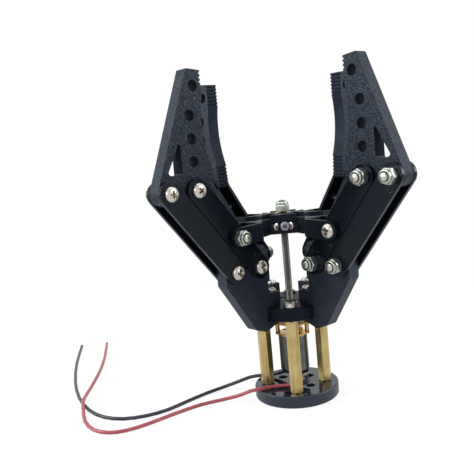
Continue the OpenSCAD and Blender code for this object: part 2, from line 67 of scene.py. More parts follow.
# %% [markdown]
# ## Camera
#
# The gripper is seen from the front, from a little above its middle, and the camera is
# tipped slightly to one side, so the lead screw leans to the left in the picture. The
# camera is aimed with a track quaternion and then rolled about its own axis.

# %% Camera
camera_place = Vector((2.13, -259.78, 104.31)) * MM
camera_target = Vector((-19.53, -0.16, 68.27)) * MM
camera_roll = Matrix.Rotation(math.radians(-5.26), 4, "Z")

camera_data = bpy.data.cameras.new("camera")
camera_data.lens = 48.55
camera_data.sensor_width = 36
camera_data.clip_start = 0.01
camera = bpy.data.objects.new("camera", camera_data)
facing = (camera_target - camera_place).to_track_quat("-Z", "Y").to_matrix().to_4x4()
camera.matrix_world = Matrix.Translation(camera_place) @ facing @ camera_roll
scene.collection.objects.link(camera)
scene.camera = camera
print("camera distance", round((camera_place - camera_target).length / MM), "mm")

# %% [markdown]
# ## Helpers for finishes
#
# Every finish is one node tree. Patterns use the object's own coordinates, in metres, so
# they stay on a piece when it moves, and a scale of 1000 gives patches of about 1 mm. A
# value that varies over a surface goes through nodes. A value that doesn't is set on the
# shader's own socket.

# %% Finish helpers
def finish(name, **sockets):
    """A material with one Principled shader, and its constant sockets set."""
    material = bpy.data.materials.new(name)
    material.use_nodes = True
    shader = material.node_tree.nodes["Principled BSDF"]
    for socket, value in sockets.items():
        shader.inputs[socket.replace("_", " ")].default_value = value
    return material


def add(material, kind, **settings):
    """A node of one kind, with its settings and constant inputs."""
    node = material.node_tree.nodes.new(kind)
    for key, value in settings.items():
        if hasattr(node, key):
            setattr(node, key, value)
        else:
            node.inputs[key.replace("_", " ")].default_value = value
    return node


def wire_up(material, *pairs):
    """Joins sockets: each pair is (output, input)."""
    for out, into in pairs:
        material.node_tree.links.new(out, into)


def shader_of(material):
    """The material's Principled shader."""
    return material.node_tree.nodes["Principled BSDF"]


def object_pattern(material, kind, scale, stretch=(1, 1, 1), **settings):
    """A texture in object coordinates. stretch below 1 draws the pattern out on that axis."""
    place = add(material, "ShaderNodeTexCoord")
    mapping = add(material, "ShaderNodeMapping")
    mapping.inputs["Scale"].default_value = stretch
    texture = add(material, kind, Scale=scale, **settings)
    wire_up(
        material,
        (place.outputs["Object"], mapping.inputs["Vector"]),
        (mapping.outputs["Vector"], texture.inputs["Vector"]),
    )
    return texture


def ramp(material, source, *stops):
    """A colour ramp on a value: stops are (position, colour)."""
    node = add(material, "ShaderNodeValToRGB")
    while len(node.color_ramp.elements) < len(stops):
        node.color_ramp.elements.new(0.5)
    for element, (position, colour) in zip(node.color_ramp.elements, stops):
        element.position = position
        element.color = (*colour, 1)
    wire_up(material, (source, node.inputs["Fac"]))
    return node.outputs["Color"]


def grey(value):
    """One number as a colour."""
    return (value, value, value)


def spread(material, noise, low, high):
    """Two greys over the range that a noise mostly keeps to, which is 0.3 to 0.7."""
    return ramp(material, noise.outputs["Fac"], (0.3, grey(low)), (0.7, grey(high)))


def mix(material, factor, first, second):
    """Mixes two colours. Each is a socket or a colour, and the factor a socket or a number."""
    node = add(material, "ShaderNodeMix", data_type="RGBA")
    for slot, value in ((0, factor), (6, first), (7, second)):
        if isinstance(value, bpy.types.NodeSocket):
            wire_up(material, (value, node.inputs[slot]))
        else:
            node.inputs[slot].default_value = (*value, 1) if isinstance(value, tuple) else value
    return node.outputs[2]


def bump(material, height, depth_mm, strength=1.0):
    """Small relief from a grey pattern, depth in millimetres."""
    node = add(material, "ShaderNodeBump", Strength=strength, Distance=depth_mm * MM)
    wire_up(
        material,
        (height, node.inputs["Height"]),
        (node.outputs["Normal"], shader_of(material).inputs["Normal"]),
    )


def tint(material, colour):
    """Sets the base colour from a socket."""
    wire_up(material, (colour, shader_of(material).inputs["Base Color"]))


def dull(material, roughness):
    """Sets the roughness from a socket."""
    wire_up(material, (roughness, shader_of(material).inputs["Roughness"]))


def shade_and_grime_of(material):
    """What was painted on the mesh as shade, with dirt on metal: 1 at the bottom of a recess, 0 on
    an open face.
    """
    return add(material, "ShaderNodeAttribute", attribute_name="shade_and_grime").outputs["Fac"]


print("finish helpers ready")

# %% [markdown]
# ## Helpers for pieces
#
# A mesh is built in bmesh, in metres. Each piece then gets its finish, rides on a body, and
# may stand for CAD nodes. Smooth shading stops at real corners, which are found by the angle
# between faces. Blender's own smooth normals would bend the shading of a wide flat face near
# its rounded corner, so the normals are worked out here.

# %% Making a piece
CREASE = math.radians(50)


def steady_normals(data):
    """Sets each corner's normal from the faces that meet there, weighted by their area.

    A wide flat face then stays flat right up to its rounded corner, and only the narrow
    faces of the rounding are shaded as a curve. Faces that meet more sharply than CREASE
    don't count, so real edges stay sharp."""
    limit = math.cos(CREASE)
    around = [[] for _ in data.vertices]
    for face in data.polygons:
        for vert in face.vertices:
            around[vert].append((face.normal.copy(), face.area))
    normals = []
    for face in data.polygons:
        for vert in face.vertices:
            total = Vector()
            for normal, area in around[vert]:
                if normal.dot(face.normal) > limit:
                    total += normal * area
            normals.append(total.normalized() if total.length > 0 else face.normal)
    data.normals_split_custom_set(normals)


def piece(name, mesh, material, body, slot, *nodes):
    """Makes an object from a bmesh, dresses it and lets it ride on a body."""
    data = bpy.data.meshes.new(name)
    mesh.to_mesh(data)
    mesh.free()
    data.materials.append(material)
    data.shade_smooth()
    steady_normals(data)
    made = bpy.data.objects.new(name, data)
    scene.collection.objects.link(made)
    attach(made, body)
    if nodes:
        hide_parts(*nodes)
    return made


def body_of(node):
    """The moving body that a CAD node belongs to."""
    return next(body for body, members in record["behaviour"]["bodies"].items() if node in members)


def slot_of(node):
    """The material slot of a CAD node."""
    return next(row["material_slot"] for row in record["subparts"] if row["node"] == node)


print("piece maker ready")

# %% [markdown]
# Many pieces keep the shape that the imported model gives them. They only need the small
# rounding that every moulded or machined edge has, because a perfectly sharp edge catches
# no light. A bevel modifier could do this, but here the corners are chosen first, by angle,
# so that round walls made of narrow faces stay as they are.
#
# Recesses get little light, so they are painted dark as shade. A ray from each face tells if it
# looks at another face from close by, and what it finds is painted on the mesh for the finish to
# read.

# %% Softened copies of the imported pieces
WELD = 0.0005 * MM
FLAT_ANGLE = math.radians(0.4)
CORNER = math.radians(32)


def welded(node):
    """The CAD node's mesh, with points in one place joined."""
    mesh = bmesh.new()
    mesh.from_mesh(frame["nodes"][node].data)
    bmesh.ops.remove_doubles(mesh, verts=mesh.verts, dist=WELD)
    return mesh


def copy_of(node):
    """The CAD node's mesh with its triangles joined into the flat faces that they came from."""
    mesh = welded(node)
    bmesh.ops.dissolve_limit(mesh, angle_limit=FLAT_ANGLE, verts=mesh.verts, edges=mesh.edges)
    return mesh


def soften(mesh, radius_mm, steps):
    """Rounds every corner that is sharper than CORNER."""
    sharp = [edge for edge in mesh.edges
             if len(edge.link_faces) == 2 and edge.calc_face_angle() > CORNER]
    bmesh.ops.bevel(
        mesh, geom=sharp, offset=radius_mm * MM, offset_type="OFFSET", segments=steps,
        profile=0.5, affect="EDGES", clamp_overlap=True,
    )


LIFT = 0.01 * MM
LOOKS_INWARD = 0.3


def paint_faces(mesh, reach_mm, inward):
    """Paints shade in holes and grooves, and grain on all faces but those that look inward.

    A wall of a hole or groove looks at another face of the piece from close by. The paint is
    kept on face corners, so it doesn't spread to the faces next to the painted one."""
    shade_and_grime = mesh.loops.layers.float.new("shade_and_grime")
    grain = mesh.loops.layers.float.new("grain")
    tree = BVHTree.FromBMesh(mesh)
    for face in mesh.faces:
        start = face.calc_center_median() + face.normal * LIFT
        distance = tree.ray_cast(start, face.normal, reach_mm * MM)[3]
        for loop in face.loops:
            loop[shade_and_grime] = 0.0 if distance is None else 1.0
            loop[grain] = 0.0 if face.normal.dot(inward) > LOOKS_INWARD else 1.0


def softened(node, material, radius_mm, steps=2, painted_mm=0.0):
    """A CAD node again, with rounded corners, in its place."""
    shape = copy_of(node)
    soften(shape, radius_mm, steps)
    if painted_mm:
        middle = sum((vert.co for vert in shape.verts), Vector()) / len(shape.verts)
        paint_faces(shape, painted_mm, Vector((-middle.x, -middle.y, 0)).normalized())
    piece(node + "_shape", shape, material, body_of(node), slot_of(node), node)


print("softening ready")

# %% [markdown]
# Screws, nuts and pins are remade in full, so their places and sizes have to be read off
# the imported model. A node may hold several of them. Its mesh falls apart into solids, and
# each solid's points give the axis, the foot, the length and the radii.

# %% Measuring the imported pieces
NEARLY = 0.02 * MM


def solids_of(node):
    """The separate solids of a CAD node, each as a sorted list of points.

    A dictionary keeps its order from run to run, which a set of vertices does not."""
    mesh = welded(node)
    left = dict.fromkeys(mesh.verts)
    found = []
    while left:
        queue = [left.popitem()[0]]
        points = []
        while queue:
            vert = queue.pop()
            points.append(vert.co.copy())
            for edge in vert.link_edges:
                other = edge.other_vert(vert)
                if other in left:
                    del left[other]
                    queue.append(other)
        found.append(sorted(points, key=tuple))
    mesh.free()
    return found


def jaw_axis(points):
    """The direction of the pivots of the jaw that these points belong to."""
    middle = sum(points, Vector()) / len(points)
    turn = math.degrees(math.atan2(middle.y, middle.x))
    nearest = math.radians(min(JAWS.values(), key=lambda jaw: abs((jaw - turn + 180) % 360 - 180)))
    return Vector((-math.sin(nearest), math.cos(nearest), 0))


def measure_turned(points, axis):
    """Base point, direction, and (distance along, radius) of each point of a turned solid.

    The direction points to the end that is wider, which is the head of a screw."""
    side = axis.orthogonal().normalized()
    other = axis.cross(side)
    centre = Vector()
    for across in (side, other):
        reach = [point.dot(across) for point in points]
        centre += across * (min(reach) + max(reach)) / 2
    rows = [(p.dot(axis), (p - centre - axis * p.dot(axis)).length) for p in points]
    low = min(along for along, radius in rows)
    high = max(along for along, radius in rows)
    widest = max(radius for along, radius in rows)
    wide_at = [along for along, radius in rows if radius > widest - NEARLY]
    if sum(wide_at) / len(wide_at) < (low + high) / 2:
        axis = -axis
        rows = [(-along, radius) for along, radius in rows]
        low = -high
    return centre + axis * low, axis, [(along - low, radius) for along, radius in rows]


def stand(axis, place, spin=0.0):
    """The matrix that stands a piece, made upright at the origin, along an axis at a place."""
    aim = axis.to_track_quat("Z", "Y").to_matrix().to_4x4()
    return Matrix.Translation(place) @ aim @ Matrix.Rotation(spin, 4, "Z")


def join(target, part, matrix=None):
    """Adds a mesh, moved by a matrix, to another mesh, and keeps what was painted on it."""
    data = bpy.data.meshes.new("part")
    part.to_mesh(data)
    if matrix is not None:
        data.transform(matrix)
    target.from_mesh(data)
    bpy.data.meshes.remove(data)


print("measuring ready")

# %% [markdown]
# ## Wires
#
# Two motor leads of 1.5 mm come off the terminals under the motor, cross the disc, and lie
# on the table. They are limp and hold a slight set. Each is a curve through listed points,
# with a round section. A swept mesh would look the same, but a curve keeps its
# centre line, so its length is easy to measure. The cut end shows a copper core.

# %% Wire routes
WIRE_R = 0.75 * MM
black_route = [
    (-4.2, 4.2, 8.4), (-6.4, 5.4, 7.5), (-9.6, 6.4, 6.3), (-15, 6.9, 5.9),
    (-20, 6.9, 5.4), (-25, 7.2, 3.7), (-29, 7.6, 2.3), (-33.5, 6.8, 1.2),
    (-39, 3.2, 0.8), (-46.5, -4.8, 0.8), (-53.5, -12.5, 0.8), (-61.5, -17.3, 0.8),
    (-70.5, -19, 0.8), (-79.5, -16, 0.8), (-88, -8, 0.8), (-97, 6.5, 0.8), (-105.5, 27, 0.8),
    (-114, 55, 0.8), (-121, 86, 0.8),
]
red_route = [
    (4.2, -4.2, 8.4), (4.7, -5.8, 7.4), (2.3, -6.9, 6.4), (-4, -6.5, 5.9),
    (-10.5, -7.2, 5.85), (-15, -8.8, 5.85), (-19, -9, 5.3), (-23, -8, 3.6), (-27.5, -6.6, 2),
    (-33, -6.2, 0.9), (-40.5, -9.5, 0.8), (-50, -17, 0.8), (-59.5, -25.5, 0.8),
    (-66.5, -30, 0.8), (-73, -31.2, 0.8), (-80, -28, 0.8), (-86.2, -19.5, 0.8),
    (-90, -9.5, 1.6), (-92.3, -2, 2.5), (-94, 7, 1.6), (-95.5, 21, 0.8), (-97.5, 41, 0.8),
    (-101, 62, 0.8), (-107, 88, 0.8),
]


def smooth_route(route):
    """The route's points in metres, with one more on a smooth curve in each stretch."""
    points = [Vector(p) * MM for p in route]
    last = len(points) - 1
    path = []
    for i in range(last):
        here, there = points[i], points[i + 1]
        before, after = points[max(i - 1, 0)], points[min(i + 2, last)]
        path += [here, (9 * (here + there) - before - after) / 16]
    return path + [points[last]]


def path_length(path):
    """The length of a path along its points."""
    return sum((b - a).length for a, b in zip(path, path[1:]))


for name, route in (("black", black_route), ("red", red_route)):
    print(name, "wire is", round(path_length(smooth_route(route)), 4), "m long")

# %% [markdown]
# The insulation is soft vinyl: smooth, slightly waxy, with faint marks of handling. The red
# one is a dusty pink-red, and the black one has a blue cast. The bare end is a bundle of
# fine copper strands, which a Voronoi pattern draws as small round cells.

# %% Wire finish
def vinyl(name, colour, worn):
    """Vinyl of one colour, with paler patches where it was handled."""
    made = finish(name, Roughness=0.38, Specular_IOR_Level=0.3,
                  Coat_Weight=0.08, Coat_Roughness=0.3)
    patches = object_pattern(made, "ShaderNodeTexNoise", 350, Detail=4.0)
    marks = object_pattern(made, "ShaderNodeTexNoise", 2600, Detail=2.0)
    blotch = ramp(made, patches.outputs["Fac"], (0.4, grey(0.0)), (0.7, grey(0.6)))
    tint(made, mix(made, blotch, colour, worn))
    bump(made, marks.outputs["Fac"], 0.02, 0.4)
    return made


red_vinyl = vinyl("red_vinyl", (0.27, 0.045, 0.06), (0.34, 0.09, 0.105))
black_vinyl = vinyl("black_vinyl", (0.012, 0.016, 0.026), (0.024, 0.03, 0.043))
copper = finish("copper", Base_Color=(0.8, 0.42, 0.25, 1), Metallic=1.0)
strands = object_pattern(copper, "ShaderNodeTexVoronoi", 5200)
dull(copper, ramp(copper, strands.outputs["Distance"], (0.0, grey(0.22)), (0.6, grey(0.5))))
bump(copper, strands.outputs["Distance"], 0.05)
print("wire finishes", red_vinyl.name, black_vinyl.name, copper.name)

# %% [markdown]
# Each lead starts inside a short black sleeve that is shrunk over the soldered joint.

# %% Wires
TUBE_STEPS = 5
SLEEVE_R = WIRE_R + 0.22 * MM
CORE_R = 0.42 * MM
CORE_TIP_R = 0.36 * MM
CORE_LENGTH = 0.5 * MM
CORE_OUT = 0.12 * MM


def tube(name, path, radius, material):
    """A curve of one spline with a round section and closed ends."""
    curve = bpy.data.curves.new(name, "CURVE")
    curve.dimensions = "3D"
    curve.bevel_depth = radius
    curve.bevel_resolution = TUBE_STEPS
    curve.use_fill_caps = True
    spline = curve.splines.new("POLY")
    spline.points.add(len(path) - 1)
    for point, co in zip(spline.points, path):
        point.co = (*co, 1)
    spline.use_smooth = True
    curve.materials.append(material)
    made = bpy.data.objects.new(name, curve)
    scene.collection.objects.link(made)
    return made


def part_of(path, length):
    """The first stretch of a path, cut at a length."""
    kept = [path[0]]
    for a, b in zip(path, path[1:]):
        step = (b - a).length
        if step >= length:
            return kept + [a + (b - a) * (length / step)]
        kept.append(b)
        length -= step
    return kept


def wire(name, route, material, slot, sleeve_mm):
    """A lead, the shrunk sleeve over its soldered end, and the copper core at its cut end."""
    path = smooth_route(route)
    lead = tube(name, path, WIRE_R, material)
    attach(lead, "frame")
    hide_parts(slot.replace("insulation", "wire"))
    sleeve = tube(name + "_sleeve", part_of(path, sleeve_mm * MM), SLEEVE_R, black_vinyl)
    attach(sleeve, "frame")
    end = (path[-1] - path[-2]).normalized()
    core = bmesh.new()
    bmesh.ops.create_cone(core, cap_ends=True, segments=14, radius1=CORE_R, radius2=CORE_TIP_R,
                          depth=CORE_LENGTH, matrix=stand(end, path[-1] + end * CORE_OUT))
    tip = piece(name + "_core", core, copper, "frame", "brass")


wire("black_lead", black_route, black_vinyl, "black_insulation", 4.0)
wire("red_lead", red_route, red_vinyl, "red_insulation", 4.6)
print("wires laid")

# %% [markdown]
# ## Black plastics
#
# The fingers, brackets, rods, hub and crosshead are moulded in a filled nylon, nearly black
# with a little blue and a low sheen. The fingers have a fine pale speckle, which is grain
# in the mould, and the hub, crosshead and rods are smoother and darker than the brackets.
#
# The speckle could be a picture laid on the faces, but a noise pattern needs no unwrapping
# and has the same grain size on every piece. In a white room the gloss of a black piece
# counts as much as its colour, so each finish has its own specular level.

# %% Moulded nylon
COOL = (0.74, 0.87, 1.0, 1)
# The near-black of the painted shade in holes and grooves.
HOLE_SHADE = (0.007, 0.0095, 0.016)


def moulded(name, dark, light, relief_mm, specular, dusty=None):
    """Filled nylon: patches of two close colours, a pebbled relief, and fine pale grains.

    The grains show where the mesh was painted with grain, and painted shade darkens holes and
    grooves."""
    made = finish(name, Specular_IOR_Level=specular, Specular_Tint=COOL)
    cloud = object_pattern(made, "ShaderNodeTexNoise", 170, Detail=3.0)
    pebble = object_pattern(made, "ShaderNodeTexNoise", 1900, Detail=3.0, Roughness=0.7)
    clouds = ramp(made, cloud.outputs["Fac"], (0.35, grey(0)), (0.65, grey(1)))
    tone = mix(made, clouds, dark, light)
    roughness = spread(made, pebble, 0.56, 0.36)
    if dusty is not None:
        dust = object_pattern(made, "ShaderNodeTexNoise", 2500, Detail=2.0, Roughness=0.8)
        specks = ramp(made, dust.outputs["Fac"], (0.5, grey(0)), (0.6, grey(1)))
        here = add(made, "ShaderNodeAttribute", attribute_name="grain").outputs["Fac"]
        tone = mix(made, here, tone, mix(made, specks, dark, dusty))
        # Holes and grooves painted as shade turn near-black and matt.
        tone = mix(made, shade_and_grime_of(made), tone, HOLE_SHADE)
        roughness = mix(made, shade_and_grime_of(made), roughness, grey(0.9))
    tint(made, tone)
    dull(made, roughness)
    bump(made, pebble.outputs["Fac"], relief_mm)
    return made


finger_nylon = moulded("finger_nylon", (0.003, 0.005, 0.011), (0.008, 0.0115, 0.022), 0.12, 0.11,
                       dusty=(0.041, 0.05, 0.067))
nylon = moulded("moulded_nylon", (0.0045, 0.007, 0.0135), (0.009, 0.0125, 0.0215), 0.08, 0.25)
smooth_nylon = moulded("smooth_nylon", (0.0012, 0.0022, 0.005), (0.0032, 0.0048, 0.009), 0.04, 0.12)
print("moulded nylon ready")

# %% [markdown]
# The links are strips of a harder, glossy plastic. Their gloss wanders a little from place
# to place, and a few pale specks of dust lie on them. The specks are the centres of large
# Voronoi cells, so they are few and stand far apart.

# %% Glossy strip plastic
strip_plastic = finish("glossy_strip", Specular_IOR_Level=0.18, Specular_Tint=COOL)
sheen = object_pattern(strip_plastic, "ShaderNodeTexNoise", 120, Detail=3.0)
dust = object_pattern(strip_plastic, "ShaderNodeTexVoronoi", 260, Randomness=1.0)
clean = mix(strip_plastic, sheen.outputs["Fac"], (0.002, 0.0028, 0.005), (0.004, 0.005, 0.008))
pips = ramp(strip_plastic, dust.outputs["Distance"], (0.035, grey(0.5)), (0.06, grey(0)))
tint(strip_plastic, mix(strip_plastic, pips, clean, (0.2, 0.22, 0.26)))
dull(strip_plastic, spread(strip_plastic, sheen, 0.13, 0.22))
bump(strip_plastic, sheen.outputs["Fac"], 0.12, 0.5)
print("glossy strip plastic ready")

# %% [markdown]
# The base disc is cut from glossy sheet. Its faces mirror what stands on them, and its sawn
# rim is satin. One material does both: the surface normal says which face it is.

# %% Sheet plastic
sheet_plastic = finish("glossy_sheet", Specular_IOR_Level=0.42, Specular_Tint=COOL)
rim_marks = object_pattern(sheet_plastic, "ShaderNodeTexNoise", 900, (1, 1, 0.15), Detail=3.0)
faint = object_pattern(sheet_plastic, "ShaderNodeTexNoise", 140, Detail=2.0)
facing_up = add(sheet_plastic, "ShaderNodeSeparateXYZ")
surface = add(sheet_plastic, "ShaderNodeNewGeometry")
wire_up(sheet_plastic, (surface.outputs["Normal"], facing_up.inputs[0]))
is_face = ramp(sheet_plastic, facing_up.outputs["Z"], (0.9, grey(0)), (0.98, grey(1)))
rim_gloss = spread(sheet_plastic, rim_marks, 0.34, 0.5)
face_gloss = spread(sheet_plastic, faint, 0.05, 0.11)
dull(sheet_plastic, mix(sheet_plastic, is_face, rim_gloss, face_gloss))
blacks = mix(sheet_plastic, faint.outputs["Fac"], (0.008, 0.01, 0.016), (0.014, 0.017, 0.026))
tint(sheet_plastic, blacks)
print("sheet plastic ready")

# %% [markdown]
# ## Frame and jaws
#
# The hub, crosshead, disc, brackets, fingers, rods and links are softened copies of the
# imported pieces. The fingers get the smallest radius, so that their ribs stay crisp, and
# their holes and hollows are painted dark as shade.

# %% Frame and jaw mouldings
for node in ("hub_plate", "crosshead"):
    softened(node, smooth_nylon, 0.3)
softened("base_plate", sheet_plastic, 0.15)
for jaw in JAWS:
    softened(jaw + "_bracket", nylon, 0.3)
    softened(jaw + "_finger", finger_nylon, 0.12, painted_mm=4.0)
    softened(jaw + "_rod", smooth_nylon, 0.25)
    for link in ("_inner_link", "_outer_link"):
        softened(jaw + link, strip_plastic, 0.35, steps=3)
print("plastic pieces softened")

# %% [markdown]
# ## Metals
#
# Brass bar keeps the long lines of drawing. Plated screws are bright, with painted shade and brown
# dirt in their recesses. Zinc nuts are duller and a little green. All metals are one recipe: a
# colour, a streak direction, two roughness values, and shade with dirt where the mesh was painted.
# The thin film on handled metal scatters some light, so most of them count as a little less
# than bare. In a white room polished metal is as bright as its colour, so the colours are
# the dull ones of aged metal.

# %% Metal recipe
def metal(name, colour, shade, smoothest, roughest, scale, stretch=(1, 1, 1), relief_mm=0.01,
          shade_and_dirt=None, streaks=None, bare=0.8):
    """Metal with patches of a second shade, fine streaks, and a share of bare metal."""
    made = finish(name, Metallic=bare)
    streak = object_pattern(made, "ShaderNodeTexNoise", scale, stretch, Detail=5.0, Roughness=0.6)
    patch = object_pattern(made, "ShaderNodeTexNoise", 160, Detail=3.0)
    patches = ramp(made, patch.outputs["Fac"], (0.35, grey(0)), (0.65, grey(1)))
    tone = mix(made, patches, colour, shade)
    if streaks is not None:
        lines = ramp(made, streak.outputs["Fac"], (0.34, grey(0.8)), (0.47, grey(0)))
        tone = mix(made, lines, tone, streaks)
    # Where the mesh was painted, the given colour stands for shade with dirt in the recess.
    if shade_and_dirt is not None:
        tone = mix(made, shade_and_grime_of(made), tone, shade_and_dirt)
    tint(made, tone)
    dull(made, spread(made, streak, smoothest, roughest))
    bump(made, streak.outputs["Fac"], relief_mm)
    return made


# Colours of painted shade in recesses: brown, with dirt, for plated screws, black for the clamp
# bolt's socket, and green-grey for zinc nuts.
BROWN = (0.20, 0.125, 0.06)
SOCKET_SHADE = (0.02, 0.02, 0.02)
GREEN_GREY = (0.05, 0.055, 0.05)
DRAWN = (1, 1, 0.04)
ROLLED = (1, 1, 0.1)
bar_brass = metal("bar_brass", (0.50, 0.39, 0.175), (0.40, 0.30, 0.12), 0.22, 0.42, 900,
                  stretch=DRAWN, relief_mm=0.015, streaks=(0.22, 0.15, 0.07), bare=0.95)
stamped_brass = metal("stamped_brass", (0.52, 0.34, 0.12), (0.32, 0.19, 0.06), 0.16, 0.34, 500,
                      bare=1.0)
motor_steel = metal("motor_steel", (0.115, 0.125, 0.13), (0.07, 0.08, 0.082), 0.12, 0.3, 420,
                    stretch=ROLLED, relief_mm=0.02, bare=0.95)
plated = metal("plated_screw", (0.52, 0.50, 0.46), (0.37, 0.35, 0.31), 0.2, 0.34, 1200,
               relief_mm=0.006, shade_and_dirt=BROWN, bare=0.9)
zinc = metal("zinc_nut", (0.39, 0.425, 0.39), (0.28, 0.315, 0.28), 0.19, 0.34, 1100,
             relief_mm=0.005, shade_and_dirt=GREEN_GREY, bare=0.88)
screw_steel = metal("screw_steel", (0.15, 0.147, 0.144), (0.09, 0.088, 0.085), 0.24, 0.42, 1400,
                    bare=0.95)
blued = metal("blued_bolt", (0.26, 0.23, 0.33), (0.17, 0.15, 0.23), 0.22, 0.4, 1300, shade_and_dirt=SOCKET_SHADE)
solder_tin = metal("solder_tin", (0.42, 0.42, 0.42), (0.22, 0.2, 0.17), 0.12, 0.3, 800,
                   relief_mm=0.05)
print("metals ready")

# %% [markdown]
# ## Turned pieces
#
# Screw heads, nuts and threads are turned or rolled, so they are made by spinning a profile
# round an axis. A nut's six flats come from the same spin: at each angle the radius is cut
# off where the flat would be. Shade and dirt are painted on a vertex as it is made.

# %% Spinning a profile
def spun(profile, steps=48, flats=None):
    """Spins (radius, height, painted shade and dirt) rows, in millimetres, round the upright axis.

    flats is the width across six flats that clips each radius. The first and the last row
    close on the axis if their radius is 0."""
    mesh = bmesh.new()
    layer = mesh.verts.layers.float.new("shade_and_grime")
    rings = []
    for radius, height, shade_and_dirt in profile:
        count = 1 if radius == 0 else steps
        ring = []
        for k in range(count):
            turn = 2 * math.pi * k / steps
            reach = radius
            if flats is not None:
                off = (math.degrees(turn) + 30) % 60 - 30
                reach = min(radius, flats / 2 / math.cos(math.radians(off)))
            place = Vector((reach * math.cos(turn), reach * math.sin(turn), height))
            vert = mesh.verts.new(place * MM)
            vert[layer] = shade_and_dirt
            ring.append(vert)
        rings.append(ring)
    for low, high in zip(rings, rings[1:]):
        for k in range(steps):
            m = (k + 1) % steps
            corners = [low[k % len(low)], low[m % len(low)],
                       high[m % len(high)], high[k % len(high)]]
            corners = list(dict.fromkeys(corners))  # at the axis two corners are one point
            if len(corners) > 2:
                mesh.faces.new(corners)
    bmesh.ops.recalc_face_normals(mesh, faces=mesh.faces)
    return mesh


def arc(centre_r, centre_z, radius, start, end, steps):
    """Clean points of an arc in a profile, angles in degrees."""
    turns = [math.radians(start + (end - start) * i / steps) for i in range(steps + 1)]
    return [(centre_r + radius * math.cos(t), centre_z + radius * math.sin(t), 0.0) for t in turns]


print("spinning ready")

# %% [markdown]
# The pivot screws have pan heads with a cross recess. The head is a spun dome. The recess is
# cut with a tapered cross, as the punch that forms it has, and its walls are painted with
# shade and brown dirt. A bump map could fake the recess, but it would look flat from the side.
# One head is made for each size and then copied to every screw.

# %% Pan heads with a cross recess
def cross_punch(reach, width, depth, top):
    """A cross that tapers downwards, in millimetres."""
    mesh = bmesh.new()
    rings = []
    above = (top + 0.3, reach * 1.06, width * 0.54)
    below = (top - depth, reach * 0.42, width * 0.3)
    for height, arm, half in (above, below):
        outline = []
        for k in range(4):
            turn = Matrix.Rotation(math.pi / 2 * k, 4, "Z")
            for x, y in ((half, half), (half, arm), (-half, arm)):
                outline.append(mesh.verts.new(turn @ Vector((x, y, height)) * MM))
        rings.append(outline)
    mesh.faces.new(rings[0])
    mesh.faces.new(list(reversed(rings[1])))
    count = len(rings[0])
    for k in range(count):
        m = (k + 1) % count
        mesh.faces.new([rings[0][m], rings[0][k], rings[1][k], rings[1][m]])
    bmesh.ops.recalc_face_normals(mesh, faces=mesh.faces)
    return mesh


def cut(mesh, tool):
    """One mesh less another, with Blender's exact Boolean. Both are used up."""
    made = []
    for part in (mesh, tool):
        data = bpy.data.meshes.new("blank")
        part.to_mesh(data)
        part.free()
        made.append(bpy.data.objects.new("blank", data))
        scene.collection.objects.link(made[-1])
    boolean = made[0].modifiers.new("cut", "BOOLEAN")
    boolean.operation = "DIFFERENCE"
    boolean.solver = "EXACT"
    boolean.object = made[1]
    graph = bpy.context.evaluated_depsgraph_get()
    result = bmesh.new()
    result.from_mesh(made[0].evaluated_get(graph).to_mesh())
    for blank in made:
        bpy.data.objects.remove(blank)
    return result


def pan_head(diameter, height):
    """A domed head whose underside is at height 0, with its recess."""
    r = diameter / 2
    side = height * 0.34
    dome = arc(0, side, 1, 8, 86, 9)
    profile = [(0, 0, 0.3), (r * 0.96, 0, 0.3), (r, 0.08, 0.0)]
    profile += [(r * x, side + (height - side) * (z - side), 0.0) for x, z, _ in dome]
    profile += [(0, height, 0.0)]
    head = cut(spun(profile), cross_punch(r * 0.56, r * 0.34, height * 0.62, height))
    # The recess and the underside of the head are painted with shade and dirt.
    layer = head.verts.layers.float.get("shade_and_grime") or head.verts.layers.float.new("shade_and_grime")
    for vert in head.verts:
        off_axis = math.hypot(vert.co.x, vert.co.y) / MM
        if off_axis < r * 0.62 and vert.co.z / MM < height * 0.8:
            vert[layer] = 1.0
    return head


heads = {}


def head_for(diameter, height):
    """The head of one size, made once."""
    size = (round(diameter, 2), round(height, 2))
    if size not in heads:
        heads[size] = pan_head(*size)
    return heads[size]


print("head maker ready")

# %% [markdown]
# The thread of a small screw is a stack of rings here, not a helix. Only a turn or two of it
# shows, and rings come from the same spin as the head. Each screw of a set is turned a
# little further than the last, because no two recesses line up on a real one.

# %% Screws
PITCH = 0.5
# How much shade and dirt is painted in the roots of a thread.
IN_THREAD = 0.5
THREADED = 3.0
NEAR_END = 0.2 * MM  # a shank's radius is read this close to its end
STEP = 0.05 * MM  # and a head is wider than its shank by more than this
UP = Vector((0, 0, 1))


def shank(radius, length, thread_from):
    """A shank that goes down from height 0, threaded beyond a depth, with a chamfered end."""
    root = radius - 0.3 * PITCH
    profile = [(0, 0.02, 0), (radius, 0.02, 0), (radius, -thread_from, 0)]
    turns = max(int((length - thread_from) / PITCH) - 1, 0)
    for i in range(turns):
        z = -thread_from - i * PITCH
        profile += [(root, z - 0.22 * PITCH, IN_THREAD), (root, z - 0.36 * PITCH, IN_THREAD),
                    (radius, z - 0.7 * PITCH, 0), (radius, z - 0.86 * PITCH, 0)]
    profile += [(root, -length + 0.18, 0), (root - 0.2, -length, 0), (0, -length, 0)]
    return spun(profile, 28)


def in_order(node):
    """A node's solids, always in the same order."""
    return sorted(solids_of(node), key=lambda points: tuple(round(v, 4) for v in points[0]))


